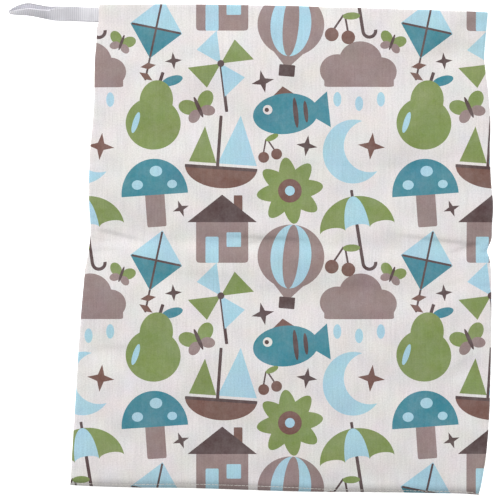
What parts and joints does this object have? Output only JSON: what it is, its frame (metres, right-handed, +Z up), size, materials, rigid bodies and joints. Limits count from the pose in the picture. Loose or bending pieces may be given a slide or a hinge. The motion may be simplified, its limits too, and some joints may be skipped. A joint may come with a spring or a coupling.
{
  "type": "waterproof diaper bag",
  "caption": "Flat waterproof cloth bag for used diapers, lying on its back, with an open mouth along its top edge and a folded webbing hang loop sewn into the side seam.",
  "frame": {"origin": "middle of the footprint of the bag and its loop, on the surface that the bag lies on", "axes": "+Z up off that surface, +Y towards the mouth, +X to the right with the loop at the left"},
  "size_m": [0.402, 0.408, 0.0137],
  "materials": {
    "printed_cloth": "matt polyester with a printed nursery pattern and a waterproof film on its inner face",
    "printed_cloth_back": "matt polyester with a printed nursery pattern and a waterproof film on its inner face",
    "webbing": "ribbed grey ribbon webbing"
  },
  "bodies": {
    "root": {"front_panel": "printed_cloth", "back_panel": "printed_cloth_back", "hang_loop": "webbing"}
  },
  "joints": []
}
